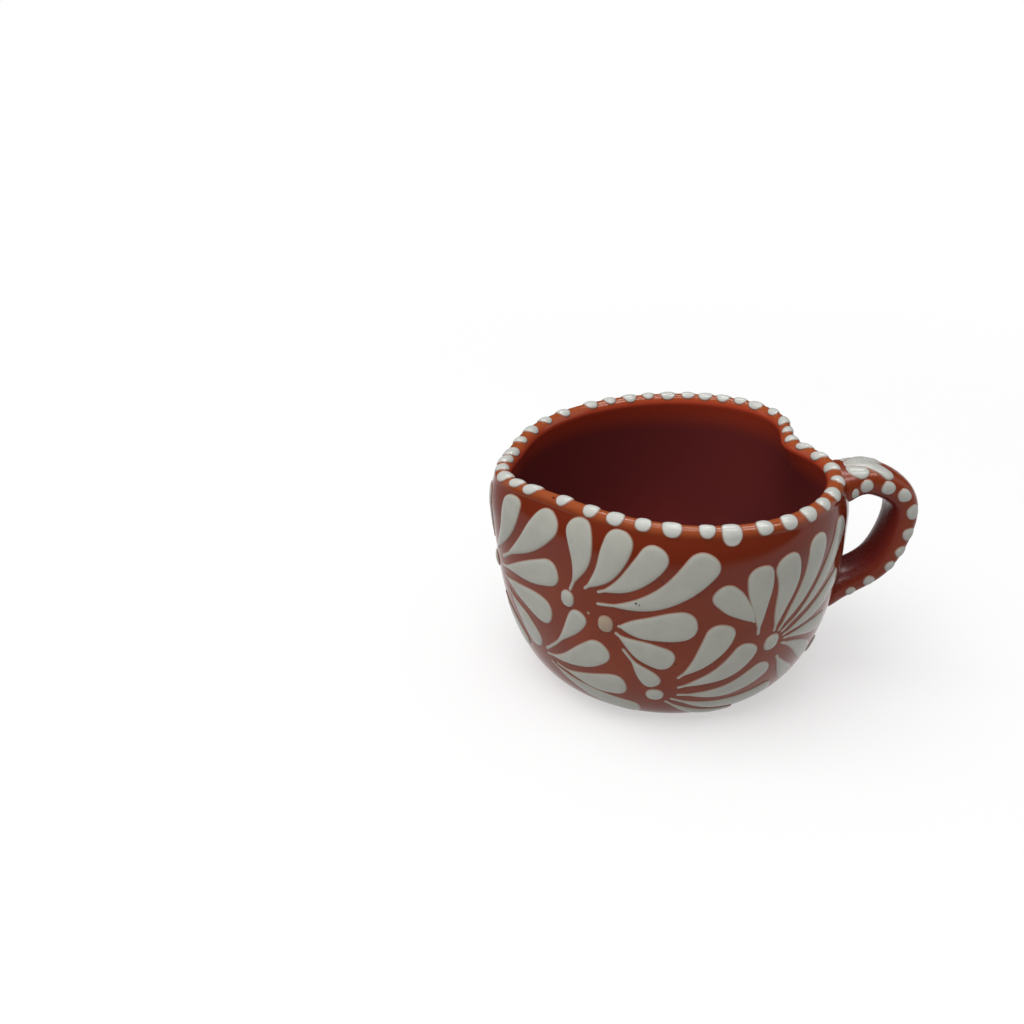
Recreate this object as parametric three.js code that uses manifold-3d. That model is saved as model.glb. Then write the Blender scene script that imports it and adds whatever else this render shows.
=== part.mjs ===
// Heart-shaped coffee mug of glazed red clay, with a strap handle and raised white slip decoration.
// Millimetres, +Z up. The origin is the centre of the flat foot, and +X points at the cleft of the heart.

import * as THREE from 'three';
import Module from 'manifold-3d';

const wasm = await Module();
wasm.setup();

// Cup: a round thrown bowl
const cupHeight = 69;
const lipRadius = 48.2; // mean radius of the lip's centre line
const lipThickness = 5.2;
const wallThickness = 5;
const floorThickness = 6;
const footRadius = 30;
const bellyRadius = 52.8;
const bellyDrop = 9.4; // from the lip's centre line down to the widest part
const wallFullness = 2.35; // exponent of the wall's rounding, 2 is an ellipse

// Heart: the rim is pulled out to a tip and pushed in at the cleft, and the push fades towards the foot
const rimShiftX = 3.5;
const rimShiftY = 1.3;
const tipPull = 5.8;
const tipSpread = 12.7;
const cleftPush = 9.4;
const cleftSpread = 17.3;
const threeCorners = 0.75;
const sideSwell = 0.6;
const lobeLean = 0.68; // the hand-pressed rim is a little uneven
const lobeTwist = 1.09;
const pushFade = 1.9;

// Handle: a flat pulled strap on the near lobe, hung from the lip's centre line
const strapWidth = 14;
const strapThickness = 9;
const lowerThickness = 7.8; // the strap thins towards its lower joint
const strapSquareness = 2.6; // exponent of the section, 2 is an ellipse
const strapFlare = 2.5; // extra width where the strap is pressed on
const flareLength = 8;
const handleAzimuth = -29; // degrees round the lip
const handleTurn = -11.4; // degrees, direction of the strap in plan
const handleReach = 19.2; // centre line of the strap, out from the lip
const reachDrop = 13.8;
const crownReach = 7.6;
const crownDrop = 1.2;
const upperJointDrop = 2.4;
const handleSpan = 34.2; // height between the middles of the two joints
const jointDepth = 4;
const jointSlope = 0.45; // rise of the strap where it leaves the wall
const shoulder = [0.83, 0.4]; // shares of the way from the crown out and down to the full reach
const elbow = [0.7, 0.34]; // shares of the way from the lower joint out and up to the full reach

// Slip: beads on the lip, feather sprays on the wall
const slipHeight = 0.65;
const strokeSwell = 0.95; // exponent of a stroke's swelling from tail to head
const tailWidth = 0.9;
const beadHeight = 0.95;
const beadWidth = 5.1;
const beadLength = 5.8; // over the lip
const longBeadLength = 8.2;
const longBead = 12;
const beadLean = 108; // degrees round the lip, from its outer side to the middle of a bead
const frontLean = 47; // how much further out the beads lie in front
const frontAzimuth = -88;
const frontNarrowing = 2.2; // exponent, how soon they move in again to the sides
const dotStretch = 1.2; // length of a dot for its width
const clearance = 0.3;
const slipClearance = 0.45; // more under the slip, whose facets bridge the rounding that it lies on

// Facets
const turnSteps = 60;
const wallSteps = 11;
const lipSteps = 6;
const innerSteps = 5;
const sectionSteps = 12;
const strapSteps = 20;
const strokePitch = 10; // hundredths of the wall's run between the sections of a stroke
const crownPitch = 22;

// Bead runs round the lip: the azimuth where a run ends, and the number of beads in it
const beadRunStart = -196.5;
const beadRuns = [
  [-166, 5], [-153.2, 1], [-141.9, 1], [-123.6, 2], [-114.8, 1], [-104.5, 1], [-97.4, 1], [-87.2, 1],
  [-52, 4], [-20, 3], [9, 3], [36, 3], [63.5, 4], [87.5, 3], [105.5, 2], [120, 1], [163.5, 4],
];
const beadShare = 0.84; // most of the pitch that a bead may take up

// Feather strokes of a spray: turn from upright in degrees, then start, reach, width and bend in hundredths
// of the wall's run from foot to lip, then a swell that isn't the usual one, and how late the bend comes
const highSpray = [
  [-34, 6, 35, 9, -2], [-8, 6, 35, 10, -1], [18, 6, 36, 10, 1],
  [42, 7, 40, 10.5, 3], [66, 8, 40, 10, 4], [92, 6, 34, 9.5, 1],
];
const lowSpray = [
  [-28, 5, 26, 8, -1], [2, 5, 29, 9, 1], [32, 6, 31, 9.5, 2],
  [58, 6, 38, 9, 3], [82, 7, 42, 8, 3],
];
const sprays = [
  { name: 'spray_tip', azimuth: 175, height: 64, dot: 6, pitch: 4.5, strokes: [
    [-100, 10, 36, 10, 0], [-76, 9, 39, 10.5, -1], [-50, 12, 45, 11, -3], [-26, 11, 37, 8.5, -3],
    [0, 10, 33, 8, 0], [26, 10, 40, 8.5, 4.5, 1, 1.4], [47.5, 13, 50.5, 12, 3.5, 1.6],
    [72.5, 10, 44, 11, 1, 1.2], [100, 11, 40, 12, 0, 1.1], [131, 14, 39.5, 10.5, -2.5, 1.2],
    [150, 14, 37, 8.5, 3]] },
  { name: 'spray_front_left_low', azimuth: -159.7, height: 36, dot: 0, strokes: [
    [39, 5, 36.7, 8, 2.5, 1.9], [64, 4, 37.3, 11.3, 3.5, 1.2], [91, 9, 41.8, 11.5, 3.5, 1.5],
    [109, 6, 50.4, 10, 3]] },
  { name: 'spray_front_left', azimuth: -145.5, height: 68.3, dot: 6, pitch: 6, strokes: [
    [-2, 4, 32.2, 11.8, 5, 1.25, 1.25], [30.5, 9.5, 37.4, 11.2, 4.5, 0.95, 1.15],
    [49.5, 14, 44, 10.7, 5, 1.05, 1.4], [62, 12, 58, 12, 9, 1.35, 1.2]] },
  { name: 'spray_front', azimuth: -132, height: 62.7, dot: 6, strokes: [
    [81.5, 4.5, 33, 12.9, 1], [116.5, 3, 29.2, 10.6, 1.5, 1.1], [141, 12, 33, 7.8, 0.5, 1.8]] },
  { name: 'spray_front_low', azimuth: -114.8, height: 31.9, dot: 5.5, strokes: [
    [33, 13, 42.3, 11, 2.5, 0.8, 1.2], [52.5, 10, 42.4, 10.2, 5.5, 1.05, 1.7],
    [74, 9, 46.5, 10, 6.3, 1.15, 1.4], [94, 7, 54, 9, 6, 1, 1.2], [114, 6, 44, 7, 4]] },
  { name: 'spray_front_right', azimuth: -79.2, height: 54.9, dot: 6.5, strokes: [
    [-43, 15, 36.6, 9.8, 1], [-21, 8, 37.3, 10.5, 2, 0.8], [-3.5, 7, 37, 10, 4.3, 0.9, 1.3],
    [19.5, 7, 43.2, 10.2, 5], [38.5, 6, 52.5, 9.5, 4, 1.2], [67, 5, 40, 9.5, 1], [96, 6, 34, 8, -1],
    [122, 6, 34, 7.5, -2], [141, 10, 33, 6.8, 1.5]] },
  { name: 'spray_under_handle', azimuth: -28, height: 24, dot: 5.5, strokes: [
    [-62, 6, 27, 8, -1], [-26, 5, 20, 7, 0], [30, 5, 22, 7, 0], [62, 6, 32, 8.5, 1], [90, 6, 38, 8, 1]] },
  { name: 'spray_cleft', azimuth: 6, height: 57, dot: 6, strokes: [
    [-92, 5, 26, 7.5, 0], [-24, 6, 37, 8, -1], [0, 6, 36, 9, 0], [24, 6, 38, 9.5, 1],
    [48, 7, 41, 10.5, 3], [72, 7, 42, 10.5, 3], [99, 6, 33, 9, 1]] },
  { name: 'spray_back_right_low', azimuth: 40, height: 24, dot: 5.5, strokes: lowSpray },
  { name: 'spray_back_right', azimuth: 63, height: 59, dot: 6, strokes: highSpray },
  { name: 'spray_back_low', azimuth: 90, height: 24, dot: 5.5, strokes: lowSpray },
  { name: 'spray_back_left', azimuth: 111, height: 59, dot: 6, strokes: highSpray },
  { name: 'spray_back_left_low', azimuth: 139, height: 24, dot: 5.5, strokes: lowSpray },
];
const degreesPerHundredth = 0.845; // across the wall, where the drawing of a spray is as wide as it is tall

// Petals on the crown of the strap, in hundredths of its width, from a root near the lip
const crownRoot = 21;
const crownPetals = [
  [-60, 5, 40, 24, -2], [-34, 6, 67, 24, 6], [-10, 8, 59, 20, 1], [24, 7, 75, 25, -9], [49, 5, 39, 26, 2],
];

const degrees = THREE.MathUtils.degToRad;
const between = THREE.MathUtils.lerp;
const lipCentre = cupHeight - lipThickness / 2;
const bellyHeight = lipCentre - bellyDrop;
const outerLipRadius = lipRadius + lipThickness / 2;

// How far the hand-pressed rim stands out of the round at an azimuth
function heartPush(azimuth) {
  const fromTip = Math.PI - Math.abs(Math.atan2(Math.sin(azimuth), Math.cos(azimuth)));
  const fromCleft = Math.PI - fromTip;
  const tip = tipPull * Math.exp(-((fromTip * lipRadius / tipSpread) ** 2));
  const cleft = cleftPush * Math.exp(-((fromCleft * lipRadius / cleftSpread) ** 2));
  const even = -threeCorners * Math.cos(3 * azimuth) - sideSwell * Math.cos(2 * azimuth);
  const uneven = lobeLean * Math.sin(2 * azimuth) + lobeTwist * Math.sin(3 * azimuth);
  return tip - cleft + even + uneven;
}

// Carries a point of the round bowl, at a radius and a height, over to the heart
function pressed(radius, height, azimuth) {
  const share = THREE.MathUtils.clamp(height / lipCentre, 0, 1);
  const r = radius + heartPush(azimuth) * share ** pushFade * Math.min(1, radius / footRadius);
  return new THREE.Vector3(
    r * Math.cos(azimuth) + rimShiftX * share,
    r * Math.sin(azimuth) + rimShiftY * share,
    height,
  );
}

// Half profile of a bowl from its floor to its lip: a rounded quarter, then slightly drawn in
function bowlProfile(floor, foot, belly, lip, steps) {
  const points = [];
  for (let i = 0; i <= steps; i++) {
    const angle = (i / steps) * Math.PI / 2;
    const out = Math.sin(angle) ** (2 / wallFullness);
    const up = 1 - Math.cos(angle) ** (2 / wallFullness);
    points.push(new THREE.Vector2(foot + (belly - foot) * out, floor + (bellyHeight - floor) * up));
  }
  const neckSteps = 3;
  for (let i = 1; i <= neckSteps; i++) {
    const share = i / neckSteps;
    const height = between(bellyHeight, lipCentre, share);
    points.push(new THREE.Vector2(belly - (belly - lip) * share ** 2, height));
  }
  return points;
}

// Round of the lip, from its outer side over its crest to its inner side
function lipProfile(steps) {
  const points = [];
  for (let i = 1; i < steps; i++) {
    const angle = (i / steps) * Math.PI;
    const radius = lipRadius + Math.cos(angle) * lipThickness / 2;
    points.push(new THREE.Vector2(radius, lipCentre + Math.sin(angle) * lipThickness / 2));
  }
  return points;
}

const fineSteps = 40;
const outerCurve = new THREE.SplineCurve([
  ...bowlProfile(0, footRadius, bellyRadius, outerLipRadius, fineSteps),
  ...lipProfile(fineSteps / 2),
]);
outerCurve.arcLengthDivisions = 800;
const outerRun = outerCurve.getLength();
const wallRun = outerRun - lipThickness / 2 * Math.PI;

// Point of the cup's outer skin, at a distance up the profile from the foot, lifted off it
function skin(azimuth, run, lift = 0) {
  const at = (a, s) => {
    const p = outerCurve.getPointAt(THREE.MathUtils.clamp(s / outerRun, 0, 1));
    return pressed(p.x, p.y, a);
  };
  const step = 0.02;
  const point = at(azimuth, run);
  const along = at(azimuth + step, run).sub(at(azimuth - step, run));
  const up = at(azimuth, run + step * lipRadius / 4).sub(at(azimuth, run - step * lipRadius / 4));
  return point.addScaledVector(along.cross(up).normalize(), lift);
}

// Closed solid through rings of equal length, ended by two points
function loft(rings, startPoint, endPoint) {
  const size = rings[0].length;
  const points = [...rings.flat(), startPoint, endPoint];
  const startIndex = points.length - 2;
  const endIndex = points.length - 1;
  const last = (rings.length - 1) * size;
  const index = [];
  for (let k = 0; k < size; k++) {
    const next = (k + 1) % size;
    index.push(startIndex, next, k);
    for (let i = 0; i < rings.length - 1; i++) {
      const a = i * size;
      const b = a + size;
      index.push(a + k, a + next, b + next, a + k, b + next, b + k);
    }
    index.push(endIndex, last + k, last + next);
  }
  const geometry = new THREE.BufferGeometry().setFromPoints(points);
  geometry.setIndex(index);
  return geometry;
}

// Joining and cutting
function solid(geometry) {
  const vertProperties = new Float32Array(geometry.attributes.position.array);
  const triVerts = new Uint32Array(geometry.index.array);
  return new wasm.Manifold(new wasm.Mesh({ numProp: 3, vertProperties, triVerts }));
}

function geometryOf(manifold) {
  const mesh = manifold.getMesh();
  const geometry = new THREE.BufferGeometry();
  geometry.setAttribute('position', new THREE.BufferAttribute(new Float32Array(mesh.vertProperties), 3));
  geometry.setIndex([...mesh.triVerts]);
  return geometry;
}

function ringAt(steps, pointAt) {
  return Array.from({ length: steps }, (_, k) => pointAt((k / steps) * 2 * Math.PI));
}

// Outer side of the cup, from the foot to the inner edge of the lip
function outerRings(lift) {
  const runs = [];
  for (let i = 0; i <= wallSteps; i++) runs.push(wallRun * i / wallSteps);
  for (let i = 1; i < lipSteps; i++) runs.push(wallRun + (outerRun - wallRun) * i / lipSteps);
  return runs.map((run) => ringAt(turnSteps, (azimuth) => skin(azimuth, run, lift)));
}

// Cup body: outer wall, lip and inner wall in one loft, flat under the foot
function cupGeometry() {
  const innerLip = lipRadius - lipThickness / 2;
  const innerBelly = bellyRadius - wallThickness;
  const innerFoot = footRadius - wallThickness;
  const inner = bowlProfile(floorThickness, innerFoot, innerBelly, innerLip, innerSteps).reverse();
  const innerRings = inner.map((p) => ringAt(turnSteps, (azimuth) => pressed(p.x, p.y, azimuth)));
  return loft([...outerRings(0), ...innerRings], pressed(0, 0, 0), pressed(0, floorThickness, 0));
}

// The space that the cup takes, filled to its lip and grown by a lift
function cupSpace(lift) {
  return solid(loft(outerRings(lift), pressed(0, 0, 0), pressed(0, lipCentre, 0)));
}

// Strap handle
const handleDirection = new THREE.Vector3(Math.cos(degrees(handleTurn)), Math.sin(degrees(handleTurn)), 0);
const handleSide = handleDirection.clone().cross(new THREE.Vector3(0, 0, 1));
const handleRoot = skin(degrees(handleAzimuth), wallRun);

function handlePoint(out, height) {
  return handleRoot.clone().addScaledVector(handleDirection, out).setZ(height);
}

// Distance up the profile to a height on the wall
function runAt(height) {
  let low = 0;
  let high = wallRun;
  while (high - low > 0.01) {
    const middle = (low + high) / 2;
    if (outerCurve.getPointAt(middle / outerRun).y < height) low = middle;
    else high = middle;
  }
  return low;
}

const crownHeight = lipCentre - crownDrop;
const reachHeight = lipCentre - reachDrop;
const upperJoint = lipCentre - upperJointDrop;
const lowerJoint = upperJoint - handleSpan;
const lowerOut = skin(degrees(handleAzimuth), runAt(lowerJoint)).sub(handleRoot).dot(handleDirection);
const handleCurve = new THREE.CatmullRomCurve3([
  handlePoint(-jointDepth, upperJoint - jointDepth * jointSlope),
  handlePoint(0, upperJoint),
  handlePoint(crownReach, crownHeight),
  handlePoint(
    between(crownReach, handleReach, shoulder[0]),
    between(crownHeight, reachHeight, shoulder[1]),
  ),
  handlePoint(handleReach, reachHeight),
  handlePoint(between(lowerOut, handleReach, elbow[0]), between(lowerJoint, reachHeight, elbow[1])),
  handlePoint(lowerOut, lowerJoint),
  handlePoint(lowerOut - jointDepth, lowerJoint - jointDepth * jointSlope),
], false, 'centripetal');
const strapRun = handleCurve.getLength();

// Point of the strap's surface: share of its length, angle round the section (0 is outwards), lift
function strapPoint(share, angle, lift = 0) {
  const centre = handleCurve.getPointAt(share);
  const outward = handleSide.clone().cross(handleCurve.getTangentAt(share));
  const fromEnd = Math.min(share, 1 - share) * strapRun;
  const flare = strapFlare * Math.exp(-((fromEnd / flareLength) ** 2));
  const power = 2 / strapSquareness;
  const thick = between(strapThickness, lowerThickness, share) / 2 + lift;
  const wide = (strapWidth + flare) / 2 + lift;
  const out = Math.sign(Math.cos(angle)) * Math.abs(Math.cos(angle)) ** power * thick;
  const aside = Math.sign(Math.sin(angle)) * Math.abs(Math.sin(angle)) ** power * wide;
  return centre.addScaledVector(outward, out).addScaledVector(handleSide, aside);
}

function handleGeometry(beadSpaces) {
  const rings = [];
  for (let i = 0; i <= strapSteps; i++) {
    rings.push(ringAt(sectionSteps, (angle) => strapPoint(i / strapSteps, angle)));
  }
  const strap = solid(loft(rings, handleCurve.getPointAt(0), handleCurve.getPointAt(1)));
  let cut = strap.subtract(cupSpace(clearance));
  for (const space of beadSpaces) {
    cut = cut.subtract(solid(space));
  }
  return geometryOf(cut);
}

// Raised band of slip on a surface: pointAt takes two offsets on the surface and a lift off it
function ribbon(pointAt, right, stations, firstPoint, lastPoint, lift) {
  const section = [[-1, 0], [-0.5, 0.9], [0.5, 0.9], [1, 0], [0, 0]];
  const rings = stations.map(({ middle, half, rise }) => section.map(([side, up]) => {
    const p = middle.clone().addScaledVector(right, side * half);
    return pointAt(p.x, p.y, lift + up * rise);
  }));
  return loft(rings, pointAt(firstPoint.x, firstPoint.y, lift), pointAt(lastPoint.x, lastPoint.y, lift));
}

// Round or oval drop of slip
function drop(pointAt, width, length, height, lift = slipClearance) {
  const stations = [-0.88, -0.5, 0, 0.5, 0.88].map((share) => {
    const round = Math.sqrt(1 - share ** 2);
    const middle = new THREE.Vector2(0, share * length / 2);
    return { middle, half: round * width / 2, rise: round * height };
  });
  const end = new THREE.Vector2(0, length / 2);
  return ribbon(pointAt, new THREE.Vector2(1, 0), stations, end.clone().negate(), end, lift);
}

// Feather stroke: a thin tail from the root, a full round head, and a bent spine
function stroke(pointAt, row, root, tail, pitch) {
  const [turn, start, reach, width, bend, swell = strokeSwell, lateness = 1] = row;
  const half = width / 2;
  const neck = reach - half;
  const steps = Math.ceil((neck - root) / pitch);
  const straight = Array.from({ length: steps + 1 }, (_, i) => between(root, neck, i / steps));
  const rounding = [0.6, 0.9].map((share) => neck + half * share);
  const direction = new THREE.Vector2(Math.sin(degrees(turn)), Math.cos(degrees(turn)));
  const right = new THREE.Vector2(direction.y, -direction.x);
  const spine = (s) => direction.clone().multiplyScalar(s)
    .addScaledVector(right, bend * Math.sin(Math.PI * (Math.max(0, s) / reach) ** lateness));
  const halfWidthAt = (s) => {
    if (s > neck) return half * Math.sqrt(1 - ((s - neck) / half) ** 2);
    const share = THREE.MathUtils.clamp((s - start) / (neck - start), 0, 1);
    return Math.max(tail / 2, half * Math.sin(Math.PI / 2 * share ** swell));
  };
  const stations = [...straight, ...rounding].map((s) => {
    const across = halfWidthAt(s);
    return { middle: spine(s), half: across, rise: slipHeight * Math.min(1, 0.5 + 0.5 * across / half) };
  });
  return ribbon(pointAt, right, stations, spine(root - tail), spine(reach), slipClearance);
}

// Spray on the wall: its strokes run together at the root, under the dot where there is one, and it is
// trimmed where a stroke's facets would bridge too sharp a bulge of the wall
function sprayGeometry({ azimuth, height, dot, strokes, pitch = strokePitch }, wall) {
  const unit = wallRun / 100;
  const onWall = (x, y, lift) =>
    skin(degrees(azimuth + x * degreesPerHundredth), (height + y) * unit, lift);
  let spray = null;
  for (const row of strokes) {
    const piece = solid(stroke(onWall, row, dot / 4, tailWidth / unit, pitch));
    spray = spray ? spray.add(piece) : piece;
  }
  if (dot > 0) {
    spray = spray.add(solid(drop(onWall, dot, dot * dotStretch, beadHeight)));
  }
  return geometryOf(spray.subtract(wall));
}

// Petals that run from the lip over the crown of the strap
function crownSprayGeometry() {
  const unit = strapWidth / 100;
  const onStrap = (x, y, lift) =>
    strapPoint((jointDepth + (crownRoot + y) * unit) / strapRun, Math.PI * x / 100, lift);
  const petal = (row) => solid(stroke(onStrap, row, 0, tailWidth / unit, crownPitch));
  return geometryOf(crownPetals.map(petal).reduce((joined, piece) => joined.add(piece)));
}

// Beads in their runs round the lip
function beadPlaces() {
  const places = [];
  let from = beadRunStart;
  for (const [to, count] of beadRuns) {
    const pitch = (to - from) / count;
    for (let i = 1; i <= count; i++) {
      places.push({ azimuth: from + i * pitch, pitch });
    }
    from = to;
  }
  return places;
}

function nearStrap({ azimuth }, margin) {
  return Math.abs(degrees(azimuth - handleAzimuth)) * lipRadius < strapWidth / 2 + margin;
}

// Bead that lies over the lip, leaning to its outer side, or the wider space that it takes out of the strap
function beadGeometry(bead, number, isSpace = false) {
  const length = number === longBead ? longBeadLength : beadLength;
  const inFront = Math.max(0, Math.cos(degrees(bead.azimuth - frontAzimuth))) ** frontNarrowing;
  const outward = nearStrap(bead, strapFlare) ? 0 : frontLean * inFront;
  const lean = degrees(beadLean - outward) * lipThickness / 2;
  const middle = wallRun + lean - (length - beadLength) / 2;
  const onLip = (x, y, lift) => skin(degrees(bead.azimuth) + x / lipRadius, middle + y, lift);
  const width = Math.min(beadWidth, degrees(bead.pitch) * lipRadius * beadShare);
  const room = 4 * clearance;
  return isSpace
    ? drop(onLip, width + room, length + room, 4 * beadHeight, -clearance)
    : drop(onLip, width, length, beadHeight);
}

// Materials
function redClay() {
  return new THREE.MeshStandardMaterial({ color: 0x9c3f22, roughness: 0.18, metalness: 0 });
}

function whiteSlip() {
  return new THREE.MeshStandardMaterial({ color: 0xd9dbd4, roughness: 0.22, metalness: 0 });
}

// Assembly
const mug = new THREE.Group();

function addPiece(name, geometry, material) {
  const mesh = new THREE.Mesh(geometry, material);
  mesh.name = name;
  mug.add(mesh);
}

const beads = beadPlaces();
const beadsAtStrap = beads.filter((bead) => nearStrap(bead, strapWidth / 2));

addPiece('cup_body', cupGeometry(), redClay());
addPiece('handle', handleGeometry(beadsAtStrap.map((bead) => beadGeometry(bead, 0, true))), redClay());
beads.forEach((bead, i) => {
  addPiece(`rim_bead_${String(i + 1).padStart(2, '0')}`, beadGeometry(bead, i + 1), whiteSlip());
});
const trimmingWall = cupSpace(clearance / 3);
for (const spray of sprays) {
  addPiece(spray.name, sprayGeometry(spray, trimmingWall), whiteSlip());
}
addPiece('handle_spray', crownSprayGeometry(), whiteSlip());

export default mug;
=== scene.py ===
import math

import bmesh
import bpy
import numpy as np
from mathutils import Matrix, Quaternion, Vector


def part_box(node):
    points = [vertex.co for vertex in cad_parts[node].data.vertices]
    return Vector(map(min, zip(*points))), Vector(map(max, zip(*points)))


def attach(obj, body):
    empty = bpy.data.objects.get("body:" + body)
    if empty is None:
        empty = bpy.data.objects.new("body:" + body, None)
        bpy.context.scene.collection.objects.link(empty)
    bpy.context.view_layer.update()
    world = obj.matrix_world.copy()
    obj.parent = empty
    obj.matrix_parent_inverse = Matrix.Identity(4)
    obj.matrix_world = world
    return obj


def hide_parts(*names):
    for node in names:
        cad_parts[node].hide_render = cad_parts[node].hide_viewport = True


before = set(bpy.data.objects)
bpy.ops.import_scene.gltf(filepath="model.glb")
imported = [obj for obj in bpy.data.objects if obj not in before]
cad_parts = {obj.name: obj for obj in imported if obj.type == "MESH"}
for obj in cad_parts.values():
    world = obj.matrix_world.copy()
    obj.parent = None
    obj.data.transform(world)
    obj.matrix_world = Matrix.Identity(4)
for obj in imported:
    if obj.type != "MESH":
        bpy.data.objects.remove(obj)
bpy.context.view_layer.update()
scene = bpy.context.scene
scene.view_settings.view_transform = "Standard"
mm = 0.001  # the mug's sizes are in mm; meshes, heights of the glaze and the studio are in metres
print("frame loaded,", len(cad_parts), "nodes")


# camera at the photo's place, found from the lip, the wall and the strap
camera = {
    "place": (-121.29, -275.73, 199.60),
    "looks": (0.22689, 0.86447, -0.44856),  # direction
    "roll": -0.753,  # degrees, the photo leans a little
    "lens": 38.136,
    "sensor": 36.0,
    "nearest": 0.01,  # metres, nothing nearer is drawn
}


def setCamera():
    data = bpy.data.cameras.new("photoCamera")
    data.lens = camera["lens"]
    data.sensor_width = camera["sensor"]
    data.clip_start = camera["nearest"]
    eye = bpy.data.objects.new("photoCamera", data)
    eye.rotation_mode = "QUATERNION"
    eye.location = Vector(camera["place"]) * mm
    aim = Vector(camera["looks"]).to_track_quat("-Z", "Y")
    eye.rotation_quaternion = aim @ Quaternion((0, 0, 1), math.radians(camera["roll"]))
    scene.collection.objects.link(eye)
    scene.camera = eye


setCamera()
print("camera set")


# bowl as it was thrown, then pressed into a heart
bowl = {
    "height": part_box("cup_body")[1].z / mm,
    "lipRadius": 48.2,
    "lipThick": 5.2,
    "wallThick": 5.0,
    "floorThick": 6.0,
    "foot": 30.0,
    "belly": 52.8,
    "bellyDrop": 9.4,  # below the middle of the lip
    "fullness": 2.35,  # 2 is an ellipse
    "shift": (3.5, 1.3),  # the rim leans off the foot
    "tipPull": 5.8,
    "tipSpread": 12.7,
    "cleftPush": 9.4,
    "cleftSpread": 17.3,
    "threeCorners": 0.75,
    "sideSwell": 0.6,
    "lobeLean": 0.68,  # one lobe is pressed more than the other
    "lobeTwist": 1.09,
    "pushFade": 1.9,  # the press fades towards the foot
    "unevenness": 0.1,  # hand-thrown wall
    "handWaves": [(5, 0.07, 0), (3, -0.11, 2)],  # how many round the wall, climb per mm, start
    "turnSteps": 288,
    "wallRings": 110,
    "lipRings": 26,
    "innerRings": 64,
    "bodySteps": 600,  # fine profile that the rings are read from
    "neckSteps": 100,
    "lipSteps": 150,
}
lipHalf = bowl["lipThick"] / 2
lipCentre = bowl["height"] - lipHalf
bellyHeight = lipCentre - bowl["bellyDrop"]


def heartPush(azimuth):
    fromCleft = np.abs(np.arctan2(np.sin(azimuth), np.cos(azimuth)))
    fromTip = np.pi - fromCleft
    tip = bowl["tipPull"] * np.exp(-(fromTip * bowl["lipRadius"] / bowl["tipSpread"]) ** 2)
    cleft = bowl["cleftPush"] * np.exp(-(fromCleft * bowl["lipRadius"] / bowl["cleftSpread"]) ** 2)
    even = bowl["threeCorners"] * np.cos(3 * azimuth) + bowl["sideSwell"] * np.cos(2 * azimuth)
    uneven = bowl["lobeLean"] * np.sin(2 * azimuth) + bowl["lobeTwist"] * np.sin(3 * azimuth)
    return tip - cleft - even + uneven


def pressed(radius, height, azimuth):
    share = np.clip(height / lipCentre, 0, 1)
    hand = 0
    for waves, climb, start in bowl["handWaves"]:
        hand = hand + np.sin(waves * azimuth + climb * height + start)
    push = heartPush(azimuth) * share ** bowl["pushFade"] + hand * share * bowl["unevenness"]
    r = radius + push * np.minimum(1, radius / bowl["foot"])
    x = r * np.cos(azimuth) + bowl["shift"][0] * share
    y = r * np.sin(azimuth) + bowl["shift"][1] * share
    return np.stack(np.broadcast_arrays(x, y, height), axis=-1)


def bowlProfile(floor, foot, belly, lip):
    angle = np.linspace(0, np.pi / 2, bowl["bodySteps"])
    power = 2 / bowl["fullness"]
    out = foot + (belly - foot) * np.sin(angle) ** power
    up = floor + (bellyHeight - floor) * (1 - np.cos(angle).clip(0) ** power)
    neck = np.linspace(0, 1, bowl["neckSteps"])[1:]
    neckOut = belly - (belly - lip) * neck ** 2
    neckUp = bellyHeight + (lipCentre - bellyHeight) * neck
    return np.column_stack([np.r_[out, neckOut], np.r_[up, neckUp]])


def lipProfile():
    angle = np.linspace(0, np.pi, bowl["lipSteps"])[1:-1]
    out = bowl["lipRadius"] + np.cos(angle) * lipHalf
    return np.column_stack([out, lipCentre + np.sin(angle) * lipHalf])


def runsOf(profile):
    return np.r_[0, np.cumsum(np.linalg.norm(np.diff(profile, axis=0), axis=1))]


outerWall = bowlProfile(0, bowl["foot"], bowl["belly"], bowl["lipRadius"] + lipHalf)
innerWall = bowlProfile(
    bowl["floorThick"],
    bowl["foot"] - bowl["wallThick"],
    bowl["belly"] - bowl["wallThick"],
    bowl["lipRadius"] - lipHalf,
)[::-1]
cupProfile = np.vstack([outerWall, lipProfile(), innerWall])
cupRuns = runsOf(cupProfile)
wallRun = cupRuns[len(outerWall) - 1]  # foot to lip
hundredth = wallRun / 100
lipRun = cupRuns[-len(innerWall)]  # foot to the inner side of the lip


def onCup(azimuth, run):
    radius = np.interp(run, cupRuns, cupProfile[:, 0])
    height = np.interp(run, cupRuns, cupProfile[:, 1])
    return pressed(radius, height, azimuth)


# takes a place(x, y) on a surface, gives a place(x, y, lift) in mm off it
def lifted(place, step=0.04):
    def at(x, y, lift):
        across = place(x + step, y) - place(x - step, y)
        along = place(x, y + step) - place(x, y - step)
        normal = np.cross(across, along)
        normal /= np.linalg.norm(normal, axis=-1, keepdims=True)
        return place(x, y) + normal * np.asarray(lift)[..., None]
    return at


def ringFaces(rings, size):
    faces = []
    for ring in range(rings - 1):
        for k in range(size):
            nextK = (k + 1) % size
            a = ring * size
            faces.append((a + k, a + nextK, a + size + nextK, a + size + k))
    return faces


def fanFaces(middle, first, size):
    return [(middle, first + k, first + (k + 1) % size) for k in range(size)]


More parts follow.
